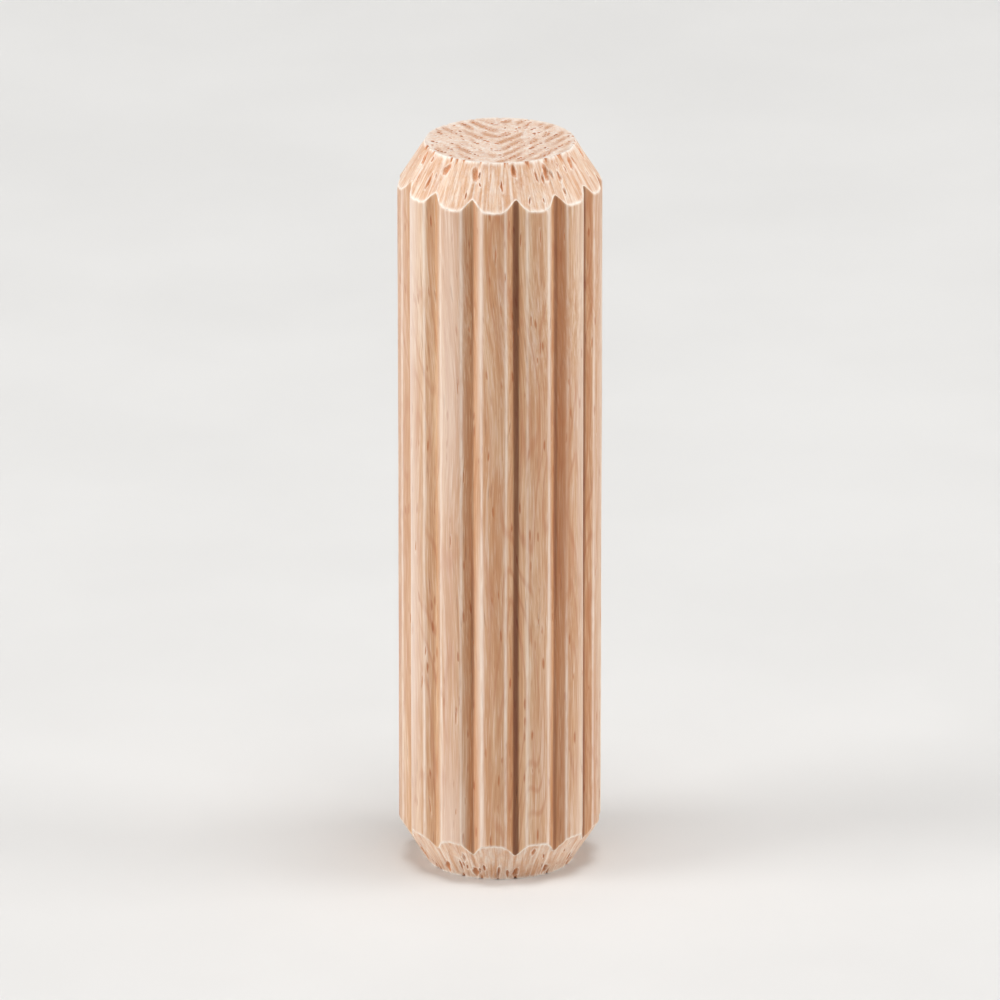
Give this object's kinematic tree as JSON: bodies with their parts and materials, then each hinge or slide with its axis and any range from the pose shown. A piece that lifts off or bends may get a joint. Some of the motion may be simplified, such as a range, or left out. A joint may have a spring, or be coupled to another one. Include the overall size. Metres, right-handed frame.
{
  "type": "dowel pin",
  "caption": "Fluted wooden dowel pin with chamfered flat ends, glued or pressed into matching holes to align and join two boards.",
  "frame": {"origin": "centre of the lower flat end face, on the surface that the pin stands on", "axes": "+Z along the pin from the lower end to the upper end; +X out through the middle of a land, +Y out through the middle of a flute"},
  "size_m": [0.0082, 0.0082, 0.03],
  "materials": {
    "beech": "bare sanded beech, unvarnished, matt"
  },
  "bodies": {
    "root": {"dowel_pin": "beech"}
  },
  "joints": []
}
